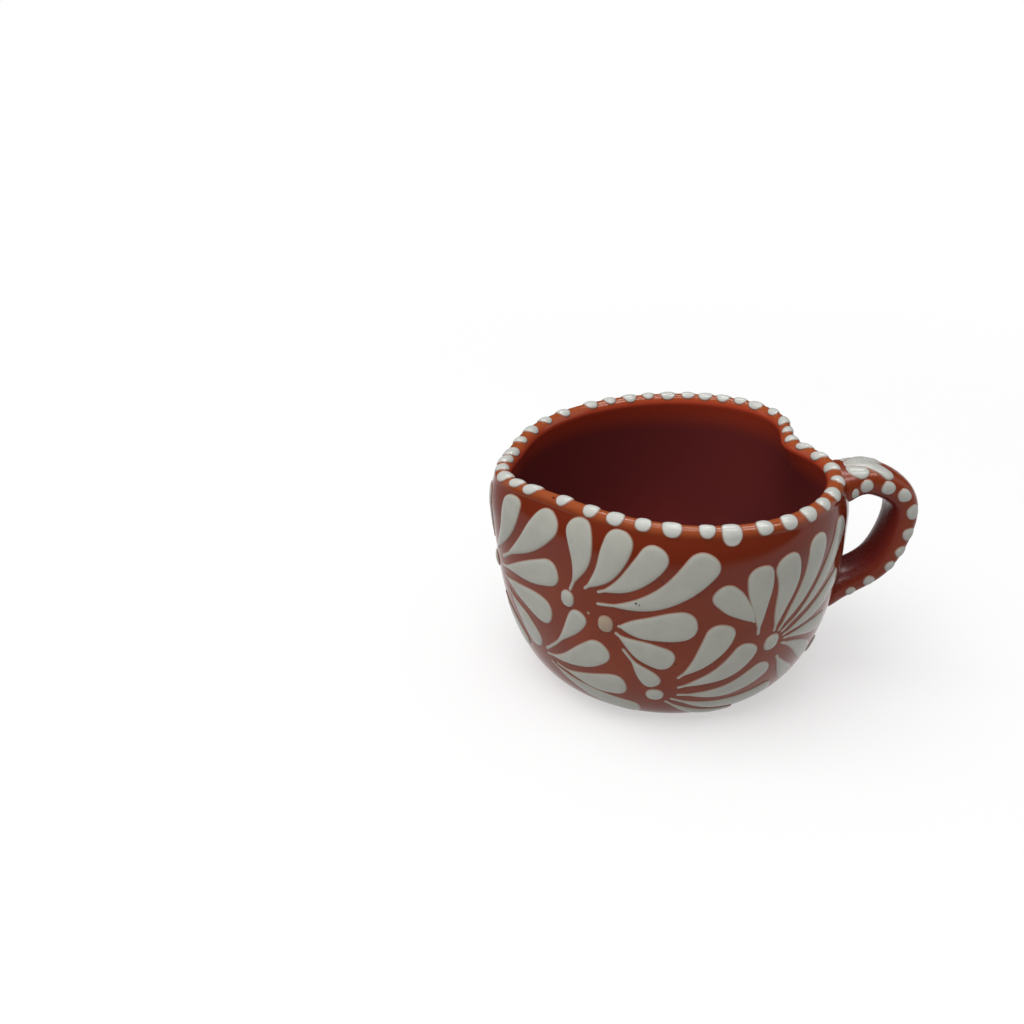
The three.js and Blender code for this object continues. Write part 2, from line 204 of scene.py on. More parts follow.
# closed mesh in metres, smooth, with its sharp edges and any values for its material marked
def makePiece(name, points, faces, marks=None, kinds=None, sharp=65, weld=0.0005):
    mesh = bpy.data.meshes.new(name)
    mesh.from_pydata((np.asarray(points) * mm).tolist(), [], faces)
    for mark, values in (marks or {}).items():
        mesh.attributes.new(mark, "FLOAT", "POINT").data.foreach_set("value", values)
    if kinds is not None:
        mesh.polygons.foreach_set("material_index", kinds)
    shape = bmesh.new()
    shape.from_mesh(mesh)
    bmesh.ops.remove_doubles(shape, verts=shape.verts, dist=weld * mm)
    bmesh.ops.dissolve_degenerate(shape, edges=shape.edges, dist=weld * mm)
    bmesh.ops.recalc_face_normals(shape, faces=shape.faces)
    for face in shape.faces:
        face.smooth = True
    for edge in shape.edges:
        edge.smooth = edge.calc_face_angle(0) < math.radians(sharp)
    shape.to_mesh(mesh)
    shape.free()
    piece = bpy.data.objects.new(name, mesh)
    scene.collection.objects.link(piece)
    return piece


def seat(piece, slotName, *nodes):
    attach(piece, "root")
    if nodes:
        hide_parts(*nodes)


# node helpers
def addNode(tree, kind, inputs=None, **settings):
    made = tree.nodes.new("ShaderNode" + kind)
    for key, value in settings.items():
        setattr(made, key, value)
    for key, value in (inputs or {}).items():
        if isinstance(value, bpy.types.NodeSocket):
            tree.links.new(value, made.inputs[key])
        else:
            made.inputs[key].default_value = value
    return made


def mixColour(tree, share, first, second):
    return addNode(tree, "Mix", {0: share, 6: first, 7: second}, data_type="RGBA").outputs[2]


def spread(tree, value, low, high, toLow=0.0, toHigh=1.0):
    ends = {"Value": value, "From Min": low, "From Max": high, "To Min": toLow, "To Max": toHigh}
    return addNode(tree, "MapRange", ends, interpolation_type="SMOOTHSTEP").outputs[0]


def noise(tree, place, scale, detail, rough=0.55):
    ends = {"Vector": place, "Scale": scale, "Detail": detail, "Roughness": rough}
    return addNode(tree, "TexNoise", ends).outputs["Fac"]


# look: scale, detail and roughness of the noise, then where a cloud begins and where it is full
def clouds(tree, place, look):
    scale, detail, rough, low, high = look
    return spread(tree, noise(tree, place, scale, detail, rough), low, high)


# look: scale and detail of the noise, strength, and depth in mm
def bumps(tree, place, look):
    scale, detail, strength, depth = look
    height = noise(tree, place, scale, detail)
    return addNode(tree, "Bump", {"Height": height, "Strength": strength, "Distance": depth * mm}), height


def newMaterial(name):
    material = bpy.data.materials.new(name)
    material.use_nodes = True
    tree = material.node_tree
    place = addNode(tree, "TexCoord").outputs["Object"]
    return material, tree, tree.nodes["Principled BSDF"], place


# red clay under a clear glaze, with painted light and shade: the lip's top more orange, the wall under
# the lip and the strap's inner face darker
glaze = {
    "deep": (0.222, 0.0330, 0.0098, 1),
    "red": (0.270, 0.0425, 0.0118, 1),
    # painted light: the orange of the lip's top, where it faces the light
    "lip": (0.37, 0.086, 0.028, 1),
    "pooled": (0.135, 0.018, 0.011, 1),
    "shoulder": (0.195, 0.0275, 0.0105, 1),  # painted shade: the wall just under the lip darkened, in place of less light and the dark reflection there
    "shadedHollow": (0.185, 0.024, 0.019, 1),  # painted shade: the strap's inner face, toward the wall, darker and more maroon
    # inside: painted shade deepens towards the floor, painted light brightens the wall and the band
    # upwards
    "inside": (0.112, 0.0215, 0.0215, 1),
    "insideRed": (0.172, 0.0255, 0.0235, 1),
    "litInsideWall": (0.155, 0.0265, 0.0255, 1),
    "litInsideBand": (0.50, 0.064, 0.028, 1),
    "lipFrom": 0.0656,  # metres above the foot
    "lipTo": 0.0692,
    "shoulderFrom": 0.046,
    "shoulderTo": 0.060,
    "wallFrom": 0.012,  # inside, from the floor's painted shade to the painted lit band under the lip
    "wallTo": 0.045,
    "bandFrom": 0.056,
    "bandTo": 0.0665,
    "shine": 0.2,
    "gloss": 0.09,
    "dull": 0.26,  # the strap is worn duller than the cup
    "clayCloud": (55, 4, 0.55, 0.36, 0.66),  # clouds and bumps are written as their functions say
    "specks": (520, 2, 0.4, 0.70, 0.76),
    "insideCloud": (26, 3, 0.55, 0.35, 0.65),
    "ripple": (150, 2, 0.06, 0.4),
    "grain": (1400, 3, 0.02, 0.1),
    "grainSpread": (0.3, 0.7),
    "glossSpread": (0.8, 1.3),  # shares of the gloss over that spread
}


def heightOf(tree, place):
    return addNode(tree, "SeparateXYZ", {0: place}).outputs["Z"]


def cloudedClay(tree, place):
    return mixColour(tree, clouds(tree, place, glaze["clayCloud"]), glaze["deep"], glaze["red"])


def cupColour(tree, place):
    height = heightOf(tree, place)
    # painted shade: the wall darkens just under the lip
    shadeUnderLip = spread(tree, height, glaze["shoulderFrom"], glaze["shoulderTo"])
    # painted light: the lip's top turns more orange
    atLip = spread(tree, height, glaze["lipFrom"], glaze["lipTo"])
    wall = mixColour(tree, shadeUnderLip, cloudedClay(tree, place), glaze["shoulder"])
    return mixColour(tree, atLip, wall, glaze["lip"])


def glossyFinish(tree, shader, place, gloss=glaze["gloss"]):
    ripple = bumps(tree, place, glaze["ripple"])[0]
    fine, grain = bumps(tree, place, glaze["grain"])
    tree.links.new(ripple.outputs[0], fine.inputs["Normal"])
    tree.links.new(fine.outputs[0], shader.inputs["Normal"])
    ends = [share * gloss for share in glaze["glossSpread"]]
    tree.links.new(spread(tree, grain, *glaze["grainSpread"], *ends), shader.inputs["Roughness"])
    shader.inputs["Specular IOR Level"].default_value = glaze["shine"]


def makeRedGlaze(name, onStrap=False):
    material, tree, shader, place = newMaterial(name)
    if onStrap:
        # painted shade on the strap's inner face, placed by its attribute
        inner = addNode(tree, "Attribute", attribute_name="shadedHollow").outputs["Fac"]
        colour = mixColour(tree, inner, cloudedClay(tree, place), glaze["shadedHollow"])
    else:
        colour = cupColour(tree, place)
    colour = mixColour(tree, clouds(tree, place, glaze["specks"]), colour, glaze["pooled"])
    tree.links.new(colour, shader.inputs["Base Color"])
    glossyFinish(tree, shader, place, glaze["dull"] if onStrap else glaze["gloss"])
    return material


# inside: dark maroon glaze, with painted shade deepening towards the floor and a painted lit band under
# the lip
def makeInsideGlaze():
    material, tree, shader, place = newMaterial("insideGlaze")
    height = heightOf(tree, place)
    cloud = clouds(tree, place, glaze["insideCloud"])
    colour = mixColour(tree, cloud, glaze["inside"], glaze["insideRed"])
    atWall = spread(tree, height, glaze["wallFrom"], glaze["wallTo"])
    atBand = spread(tree, height, glaze["bandFrom"], glaze["bandTo"])
    atLip = spread(tree, height, glaze["bandTo"], glaze["lipTo"])
    for share, name in ((atWall, "litInsideWall"), (atBand, "litInsideBand"), (atLip, "lip")):
        colour = mixColour(tree, share, colour, glaze[name])
    tree.links.new(colour, shader.inputs["Base Color"])
    glossyFinish(tree, shader, place)
    return material


# white slip: red shows through its thin edges
slip = {
    "white": (0.65, 0.65, 0.61, 1),  # beads
    "dull": (0.56, 0.56, 0.52, 1),  # strap
    "brushed": (0.51, 0.51, 0.453, 1),  # sprays
    "edge": (0.36, 0.20, 0.145, 1),
    "beige": (0.47, 0.36, 0.26, 1),
    "pinhole": (0.05, 0.035, 0.025, 1),
    "shade": 0.92,  # of its colour, in clouds
    "cloud": (190, 4, 0.6, 0.3, 0.75),
    "tinyHoles": (1100, 0, 0.55, 0.905, 0.93),
    "pooling": 0.3,  # share of pooled glaze round a stroke
    "poolingRim": (0.0, 0.22),  # 0 at the skirt of a stroke, 1 where its colour is full
    "edgeRim": (0.18, 0.5),
    "bodyRim": (0.36, 0.9),
    "pinholes": [(-122.9, 74.2, 0.3), (-121.9, 73.8, 0.2)],  # azimuth, hundredths of the wall's run, mm
    "pinholeLift": 0.5,  # to the face of the slip
    "pinholeEdge": (0.7, 1.5),  # of its radius
}


def makeWhiteSlip(name, body, gloss=glaze["gloss"]):
    material, tree, shader, place = newMaterial(name)
    clay = cupColour(tree, place)
    rim = addNode(tree, "Attribute", attribute_name="slipEdge").outputs["Fac"]
    shade = [*(slip["shade"] * part for part in body[:3]), 1]
    colour = mixColour(tree, clouds(tree, place, slip["cloud"]), body, shade)
    colour = mixColour(tree, clouds(tree, place, slip["tinyHoles"]), colour, slip["pinhole"])
    for azimuth, run, radius in slip["pinholes"]:
        middle = lifted(onCup)(math.radians(azimuth), run * hundredth, slip["pinholeLift"]) * mm
        ends = {0: place, 1: middle.tolist()}
        off = addNode(tree, "VectorMath", ends, operation="DISTANCE").outputs["Value"]
        edges = [radius * share * mm for share in slip["pinholeEdge"]]
        colour = mixColour(tree, spread(tree, off, *edges, 1.0, 0.0), colour, slip["pinhole"])
    atPool = spread(tree, rim, *slip["poolingRim"], 0.0, slip["pooling"])
    pooled = mixColour(tree, atPool, clay, glaze["pooled"])
    toEdge = mixColour(tree, spread(tree, rim, *slip["edgeRim"]), pooled, slip["edge"])
    whole = mixColour(tree, spread(tree, rim, *slip["bodyRim"]), toEdge, colour)
    tree.links.new(whole, shader.inputs["Base Color"])
    glossyFinish(tree, shader, place, gloss)
    return material


# no glaze under the foot
bareClay = {
    "cloud": (320, 5, 0.7, 0.3, 0.7),
    "rubbed": (900, 4, 0.3, 0.2),
    "rough": 0.85,
}


def makeBareFoot():
    material, tree, shader, place = newMaterial("bareFoot")
    colour = mixColour(tree, clouds(tree, place, bareClay["cloud"]), glaze["red"], glaze["lip"])
    tree.links.new(colour, shader.inputs["Base Color"])
    tree.links.new(bumps(tree, place, bareClay["rubbed"])[0].outputs[0], shader.inputs["Normal"])
    shader.inputs["Roughness"].default_value = bareClay["rough"]
    return material


redGlaze = makeRedGlaze("redGlaze")
strapGlaze = makeRedGlaze("strapGlaze", onStrap=True)
insideGlaze = makeInsideGlaze()
bareFoot = makeBareFoot()
whiteSlip = makeWhiteSlip("whiteSlip", slip["white"])
brushedSlip = makeWhiteSlip("brushedSlip", slip["brushed"])
beigeSlip = makeWhiteSlip("beigeSlip", slip["beige"])
dullSlip = makeWhiteSlip("dullSlip", slip["dull"], glaze["dull"])
print("glazes and slips mixed")


def makeCup():
    turns = np.linspace(-np.pi, np.pi, bowl["turnSteps"], endpoint=False)
    runs = np.r_[
        np.linspace(0, wallRun, bowl["wallRings"]),
        np.linspace(wallRun, lipRun, bowl["lipRings"])[1:],
        np.linspace(lipRun, cupRuns[-1], bowl["innerRings"])[1:],
    ]
    size = len(turns)
    points = [onCup(turns, np.full(size, run)) for run in runs]
    points = np.vstack([*points, [[0, 0, 0], [0, 0, bowl["floorThick"]]]])
    footMiddle = len(points) - 2
    last = (len(runs) - 1) * size
    faces = ringFaces(len(runs), size)
    lipTop = (wallRun + lipRun) / 2
    kinds = [int(run >= lipTop) for run in runs[:-1] for k in range(size)]  # 0 outside, 1 inside
    faces += fanFaces(footMiddle, 0, size) + fanFaces(footMiddle + 1, last, size)
    kinds += [2] * size + [1] * size  # bare foot, then the floor inside
    cup = makePiece("glazedCup", points, faces, kinds=kinds)
    for material in (redGlaze, insideGlaze, bareFoot):
        cup.data.materials.append(material)
    seat(cup, "red_glaze", "cup_body")


makeCup()
print("cup thrown")


# strap handle, a flat pull of clay that leaves the lip and comes back low on the wall
strap = {
    "width": 14.0,
    "thick": 9.0,
    "lowerThick": 7.8,  # a pulled strap thins downwards
    "squareness": 2.6,
    "flare": 2.5,  # wider where it meets the wall
    "flareLength": 8.0,
    "azimuth": -29.0,  # where it is pressed on
    "turn": -11.4,  # where it points
    "reach": 19.2,
    "reachDrop": 13.8,  # drops are below the middle of the lip
    "crownReach": 7.6,
    "crownDrop": 1.2,
    "upperDrop": 2.4,
    "span": 34.2,
    "sunk": 4.0,  # into the wall, at both ends
    "slope": 0.45,
    "shoulder": (0.83, 0.4),  # shares of the way, out and down, from the crown
    "elbow": (0.7, 0.34),  # shares of the way, out and up, from the lower end
    "fillet": 0.7,
    "filletReach": 2.4,
    "keepsIn": 2.0,  # most that its ends reach into the wall
    "shadedHollow": (85, 140),  # degrees round the section, where its inner face with painted shade begins and is full
    "stations": 170,
    "around": 60,
    "spanSteps": 60,
    "sectionSteps": 721,
    "tangentStep": 0.4,
}
strapTurn = math.radians(strap["turn"])
strapOut = np.array([math.cos(strapTurn), math.sin(strapTurn), 0])
upward = np.array([0, 0, 1])
strapSide = np.cross(strapOut, upward)
strapRoot = onCup(math.radians(strap["azimuth"]), wallRun)


# smooth curve through a few points, even in speed at each of them
def throughPoints(points, perSpan):
    points = np.asarray(points, float)
    padded = np.vstack([2 * points[0] - points[1], points, 2 * points[-1] - points[-2]])
    t = np.linspace(0, 1, perSpan, endpoint=False)[:, None]
    spans = []
    for p0, p1, p2, p3 in zip(padded, padded[1:], padded[2:], padded[3:]):
        d0, d1, d2 = (np.linalg.norm(b - a) ** 0.5 for a, b in ((p0, p1), (p1, p2), (p2, p3)))
        m1 = ((p1 - p0) / d0 - (p2 - p0) / (d0 + d1) + (p2 - p1) / d1) * d1
        m2 = ((p2 - p1) / d1 - (p3 - p1) / (d1 + d2) + (p3 - p2) / d2) * d1
        spans.append(
            (2 * t ** 3 - 3 * t ** 2 + 1) * p1 + (t ** 3 - 2 * t ** 2 + t) * m1
            + (3 * t ** 2 - 2 * t ** 3) * p2 + (t ** 3 - t ** 2) * m2
        )
    return np.vstack([*spans, points[-1:]])


def strapLine():
    crown = lipCentre - strap["crownDrop"]
    middle = lipCentre - strap["reachDrop"]
    upper = lipCentre - strap["upperDrop"]
    lower = upper - strap["span"]
    lowerRun = np.interp(lower, cupProfile[:len(outerWall), 1], cupRuns[:len(outerWall)])
    lowerOut = (onCup(math.radians(strap["azimuth"]), lowerRun) - strapRoot) @ strapOut
    reach, crownReach = strap["reach"], strap["crownReach"]
    (shoulderOut, shoulderDown), (elbowOut, elbowUp) = strap["shoulder"], strap["elbow"]
    return throughPoints([
        (-strap["sunk"], upper - strap["sunk"] * strap["slope"]),
        (0, upper),
        (crownReach, crown),
        (crownReach + (reach - crownReach) * shoulderOut, crown + (middle - crown) * shoulderDown),
        (reach, middle),
        (lowerOut + (reach - lowerOut) * elbowOut, lower + (middle - lower) * elbowUp),
        (lowerOut, lower),
        (lowerOut - strap["sunk"], lower - strap["sunk"] * strap["slope"]),
    ], strap["spanSteps"])


line = strapLine()
lineRuns = runsOf(line)
strapRun = lineRuns[-1]
sectionAngles = np.linspace(-np.pi, np.pi, strap["sectionSteps"])


def squared(wave, power=2 / strap["squareness"]):
    return np.sign(wave) * np.abs(wave) ** power


# way round the strap's section, 0 in the middle of its outer face
sectionWay = runsOf(np.column_stack([
    squared(np.cos(sectionAngles)) * strap["thick"] / 2,
    squared(np.sin(sectionAngles)) * strap["width"] / 2,
]))
sectionWay -= sectionWay[len(sectionWay) // 2]


def alongLine(run):
    return [np.interp(run, lineRuns, line[:, k]) for k in (0, 1)]


def strapPlace(angle, run):
    out, up = alongLine(run)
    outAhead, upAhead = alongLine(run + strap["tangentStep"])
    outBehind, upBehind = alongLine(run - strap["tangentStep"])
    goesOut, goesUp = outAhead - outBehind, upAhead - upBehind
    length = np.hypot(goesOut, goesUp)
    tangent = (goesOut / length)[..., None] * strapOut + (goesUp / length)[..., None] * upward
    outward = np.cross(np.broadcast_to(strapSide, tangent.shape), tangent)
    fromEnd = np.minimum(run, strapRun - run)
    wide = (strap["width"] + strap["flare"] * np.exp(-(fromEnd / strap["flareLength"]) ** 2)) / 2
    middle = strapRoot * [1, 1, 0] + out[..., None] * strapOut + up[..., None] * upward
    thick = (strap["thick"] + (strap["lowerThick"] - strap["thick"]) * run / strapRun) / 2
    return (
        middle
        + outward * (squared(np.cos(angle)) * thick)[..., None]
        + strapSide * (squared(np.sin(angle)) * wide)[..., None]
    )


def onStrap(across, run):
    return strapPlace(np.interp(across, sectionWay, sectionAngles), run)


# how far points stand off the cup's outer wall, and their azimuths
def offWall(points):
    height = points[:, 2]
    shift = np.outer(np.clip(height / lipCentre, 0, 1), bowl["shift"])
    x, y = (points[:, :2] - shift).T
    azimuth = np.arctan2(y, x)
    overLip = np.sqrt(np.clip(lipHalf ** 2 - (height - lipCentre).clip(0) ** 2, 0, None))
    wall = np.interp(height, cupProfile[:len(outerWall), 1], cupProfile[:len(outerWall), 0])
    radius = np.where(height > lipCentre, bowl["lipRadius"] + overLip, wall)
    wallX, wallY = (pressed(radius, height, azimuth)[:, :2] - shift).T
    return np.hypot(x, y) - np.hypot(wallX, wallY), azimuth


def makeStrap():
    angles = np.linspace(-np.pi, np.pi, strap["around"], endpoint=False)
    runs = np.linspace(0, strapRun, strap["stations"])
    size = len(angles)
    grid = [strapPlace(angles, np.full(size, run)) for run in runs]
    middles = np.repeat([ring.mean(axis=0) for ring in grid], size, axis=0)
    points = np.vstack(grid)
    # wet clay smoothed into the wall at both ends, and nothing reaching through it
    gap, azimuth = offWall(points)
    away = points - middles
    away /= np.linalg.norm(away, axis=1, keepdims=True)
    points += away * (strap["fillet"] * np.exp(-(gap.clip(0) / strap["filletReach"]) ** 2))[:, None]
    gap, azimuth = offWall(points)
    deep = (-gap - strap["keepsIn"]).clip(0)
    points += np.column_stack([np.cos(azimuth), np.sin(azimuth), 0 * azimuth]) * deep[:, None]
    points = np.vstack([points, points[:size].mean(axis=0), points[-size:].mean(axis=0)])
    last = (len(runs) - 1) * size
    faces = ringFaces(len(runs), size)
    faces += fanFaces(len(points) - 2, 0, size) + fanFaces(len(points) - 1, last, size)
    turned = np.interp(np.degrees(np.abs(angles)), strap["shadedHollow"], (0, 1))
    shadedHollow = np.r_[np.tile(turned, len(runs)), 0, 0]
    handle = makePiece("strapHandle", points, faces, {"shadedHollow": shadedHollow})
    handle.data.materials.append(strapGlaze)
    seat(handle, "red_glaze", "handle")


makeStrap()
print("strap pulled,", round(strapRun, 1), "mm")


# relief of a drop or stroke of slip, its rings in mm in from its border
toMiddle = 99.0  # further in than the middle of any drop
relief = {
    "rings": (-0.30, -0.14, 0.0, 0.12, 0.28, 0.48, 0.74, 1.05, 1.45, 2.0, 2.8, toMiddle),
    "skirt": -0.03,  # height at the first ring
    "under": -0.35,  # its underside, in the clay
    "foot": 0.03,  # height at its border
    "rounding": 1.8,  # from there to its full height
    "plumpness": 0.62,  # lower is plumper
    "thinBelow": 1.5,  # a stroke is lower where its half width is less
    "thinning": 0.7,
    "leastReach": 0.05,
    "colourFull": 0.62,  # from here in no clay shows through
    "atSpine": 0.03,  # a ring this near the spine is on it
}


def slipRise(inset, reach, full, rounding):
    share = np.clip(inset / np.minimum(rounding, reach), 0, 1)
    rise = relief["foot"] + full * (1 - (1 - share) ** 2) ** relief["plumpness"]
    skirt = np.interp(inset, relief["rings"][:3], (relief["skirt"], 0.0, relief["foot"]))
    return np.where(inset < 0, skirt, rise)


# one closed island of slip: each border point is drawn in towards its own point of the spine
def slipIsland(place, spine, border, height, rounding):
    at = lifted(place)
    reach = np.maximum(np.linalg.norm(border - spine, axis=1), relief["leastReach"])
    # the sides that share a point of the spine meet there at one height
    shared = np.unique(spine, axis=0, return_inverse=True)[1].reshape(-1)
    meanReach = (np.bincount(shared, reach) / np.bincount(shared))[shared]
    full = height * np.minimum(1, (meanReach / relief["thinBelow"]) ** relief["thinning"])
    rings, edges = [], []

    def addRing(inset, lift, edge):
        left = reach - inset
        left = np.where(left < relief["atSpine"], 0, left)
        where = spine + (border - spine) * (left / reach)[:, None]
        rings.append(at(where[:, 0], where[:, 1], lift))
        edges.append(np.broadcast_to(edge, reach.shape))

    below = np.full_like(reach, relief["under"])
    addRing(relief["rings"][-1], below, 0.0)
    addRing(relief["rings"][0], below, 0.0)
    for inset in relief["rings"]:
        inner = np.minimum(inset, reach)
        edge = np.interp(inner, (relief["rings"][0], relief["colourFull"]), (0, 1))
        addRing(inset, slipRise(inner, reach, full, rounding), edge)
    return np.vstack(rings), ringFaces(len(rings), len(reach)), np.concatenate(edges)


def slipPiece(name, islands, material=whiteSlip, accents=()):
    points, faces, edges, kinds = [], [], [], []
    for number, (islandPoints, islandFaces, islandEdges) in enumerate(islands):
        start = sum(len(p) for p in points)
        points.append(islandPoints)
        edges.append(islandEdges)
        faces += [tuple(start + k for k in face) for face in islandFaces]
        kinds += [1 if number in accents else 0] * len(islandFaces)
    marks = {"slipEdge": np.concatenate(edges)}
    piece = makePiece(name, np.vstack(points), faces, marks, kinds)
    piece.data.materials.append(material)
    if accents:
        piece.data.materials.append(beigeSlip)
    return piece


def dropOutline(width, length, steps=44, squareness=2.25, tilt=0.0, grow=0.0):
    angle = np.linspace(0, 2 * np.pi, steps, endpoint=False)
    x = squared(np.cos(angle), 2 / squareness) * width / 2
    y = squared(np.sin(angle), 2 / squareness) * length / 2
    x = x * (1 + grow * y / length)  # one end fuller than the other
    cos, sin = math.cos(math.radians(tilt)), math.sin(math.radians(tilt))
    return np.column_stack([x * cos - y * sin, x * sin + y * cos])


def drop(place, width, length, height, **shape):
    border = dropOutline(width, length, **shape)
    return slipIsland(place, border * 0, border, height, toMiddle)


# feather stroke: thin tail, full round head, bent spine
feather = {
    "height": 0.5,
    "usual": (0, 5, 40, 10, 0, 0.95, 1.0),  # a row's values where it is shorter
    "tail": 0.58,
    "unevenness": 0.045,  # of its half width, each side by itself
    "waves": [(7, 1, 0), (6, 1.7, 1)],  # right and left: waves along it, share of its turn, start
    "headingStep": 0.05,
    "headSquareness": 2.25,
    "bodySteps": 34,
    "headSteps": 18,
}


def stroke(place, unit, row, height=feather["height"]):
    turn, start, reach, width, bend, swell, late = (*row, *feather["usual"][len(row):])
    start, reach, width, bend = start * unit, reach * unit, width * unit, bend * unit
    half = width / 2
    neck = reach - half
    direction = np.array([math.sin(math.radians(turn)), math.cos(math.radians(turn))])
    right = np.array([direction[1], -direction[0]])
    share = np.linspace(0, 1, feather["bodySteps"])
    along = start + (neck - start) * share

    def spineAt(s):
        s = np.asarray(s)[:, None]
        return direction * s + right * bend * np.sin(np.pi * (s / reach).clip(0) ** late)

    spine = spineAt(along)
    heading = spineAt(along + feather["headingStep"]) - spineAt(along - feather["headingStep"])
    heading /= np.linalg.norm(heading, axis=1, keepdims=True)
    beside = np.column_stack([heading[:, 1], -heading[:, 0]])
    across = half * np.sin(np.pi / 2 * share ** swell)
    hand = feather["unevenness"] * half * np.sin(np.pi * share)
    rightSide, leftSide = (
        np.maximum(feather["tail"], across + hand * np.sin(waves * share + turn * twist + begin))[:, None]
        for waves, twist, begin in feather["waves"]
    )
    headTurn = np.linspace(0, np.pi, feather["headSteps"] + 2)[1:-1, None]
    power = 2 / feather["headSquareness"]
    head = squared(np.cos(headTurn), power) * beside[-1] + squared(np.sin(headTurn), power) * heading[-1]
    head = spine[-1] + half * head
    tip = spine[:1] - heading[:1] * feather["tail"]
    border = np.vstack([tip, spine + beside * rightSide, head, (spine - beside * leftSide)[::-1]])
    centres = np.vstack([spine[:1], spine, np.repeat(spine[-1:], len(head), axis=0), spine[::-1]])
    return slipIsland(place, centres, border, height, relief["rounding"])


# sprays on the wall, a row for each stroke: turn from upright in degrees, then start, reach,
# width and bend in hundredths of the wall's run, how late it swells and how late it bends
highSpray = [
    (-34, 6, 35, 9, -2), (-8, 6, 35, 10, -1), (18, 6, 36, 10, 1),
    (42, 7, 40, 10.5, 3), (66, 8, 40, 10, 4), (92, 6, 34, 9.5, 1),
]
lowSpray = [
    (-28, 5, 26, 8, -1), (2, 5, 29, 9, 1), (32, 6, 31, 9.5, 2),
    (58, 6, 38, 9, 3), (82, 7, 42, 8, 3),
]
sprays = {
    "spray_tip": {"azimuth": 175, "height": 64, "dot": 6, "strokes": [
        (-100, 10, 36, 10, 0), (-76, 9, 39, 10.5, -1), (-50, 12, 45, 11, -3), (-26, 11, 37, 8.5, -3),
        (0, 10, 33, 8, 0), (26, 10, 40, 8.5, 4.5, 1, 1.4), (47.5, 13, 50.5, 12, 3.5, 1.6),
        (72.5, 10, 44, 11, 1, 1.2), (100, 11, 40, 12, 0, 1.1), (131, 14, 39.5, 10.5, -2.5, 1.2),
        (150, 14, 37, 8.5, 3)]},
    "spray_front_left_low": {"azimuth": -159.7, "height": 36, "dot": 0, "strokes": [
        (39, 5, 36.7, 8, 2.5, 2.5), (64, 4, 37.3, 11.3, 3.5, 1.2), (91, 9, 41.8, 11.5, 3.5, 1.5),
        (109, 6, 50.4, 10, 3)]},
    "spray_front_left": {"azimuth": -145.5, "height": 68.3, "dot": 6, "strokes": [
        (-2, 4, 32.2, 11.0, 5, 1.25, 1.25), (30.5, 9.5, 37.4, 11.2, 4.5, 0.95, 1.15),
        (49.5, 14, 44, 10.7, 5, 1.05, 1.4), (62, 12, 58, 12, 9, 1.35, 1.2)]},
    "spray_front": {"azimuth": -132, "height": 62.7, "dot": 6, "beige": True, "strokes": [
        (81.5, 5, 33, 12.9, 1, 0.75), (116.5, 5, 29.2, 10.6, 1.5, 1), (141, 12, 33, 7.8, 0.5, 1.8)],
        "speck": (-6.9, 2.5)},
    "spray_front_low": {"azimuth": -114.8, "height": 31.9, "dot": 7.4, "stretch": 0.92, "strokes": [
        (31, 13, 41.6, 11.2, 4, 1.1, 1.7), (52.5, 10, 42.4, 10.2, 5.5, 1.05, 1.7),
        (74, 9, 46.5, 10, 6.3, 1.15, 1.4), (94, 7, 54, 9, 6, 1, 1.2), (114, 6, 44, 7, 4)]},
    "spray_front_right": {"azimuth": -79.2, "height": 54.9, "dot": 6.5, "strokes": [
        (-43, 15, 36.6, 9.8, 1, 0.75), (-17.5, 7.4, 36.4, 10, -5.3, 1.1, 0.3),
        (-4, 5.2, 37, 10.5, 3.5, 1, 2), (18.5, 5.2, 43, 10.2, 4.3, 1, 1.6),
        (38.3, 5.2, 51.5, 9.5, 4.5, 1.2, 1.3), (67, 5.2, 40, 9.5, 1),
        (96, 6, 34, 8, -1), (122, 6, 34, 7.5, -2), (141, 10, 33, 6.8, 1.5)]},
    "spray_under_handle": {"azimuth": -28, "height": 24, "dot": 5.5, "strokes": [
        (-62, 6, 27, 8, -1), (-26, 5, 20, 7, 0), (30, 5, 22, 7, 0),
        (62, 6, 32, 8.5, 1), (90, 6, 38, 8, 1)]},
    "spray_cleft": {"azimuth": 6, "height": 57, "dot": 6, "strokes": [
        (-92, 5, 26, 7.5, 0), (-24, 6, 37, 8, -1), (0, 6, 36, 9, 0), (24, 6, 38, 9.5, 1),
        (48, 7, 41, 10.5, 3), (72, 7, 42, 10.5, 3), (99, 6, 33, 9, 1)]},
    "spray_back_right_low": {"azimuth": 40, "height": 24, "dot": 5.5, "strokes": lowSpray},
    "spray_back_right": {"azimuth": 63, "height": 59, "dot": 6, "strokes": highSpray},
    "spray_back_low": {"azimuth": 90, "height": 24, "dot": 5.5, "strokes": lowSpray},
    "spray_back_left": {"azimuth": 111, "height": 59, "dot": 6, "strokes": highSpray},
    "spray_back_left_low": {"azimuth": 139, "height": 24, "dot": 5.5, "strokes": lowSpray},
}
sprayTrail = {
    "degreesPerHundredth": 0.845,  # round the wall
    "dotStretch": 1.2,
    "dotHeight": 0.8,
    "speckWidth": 0.9,  # a splash beside a dot
    "speckHeight": 0.15,
}


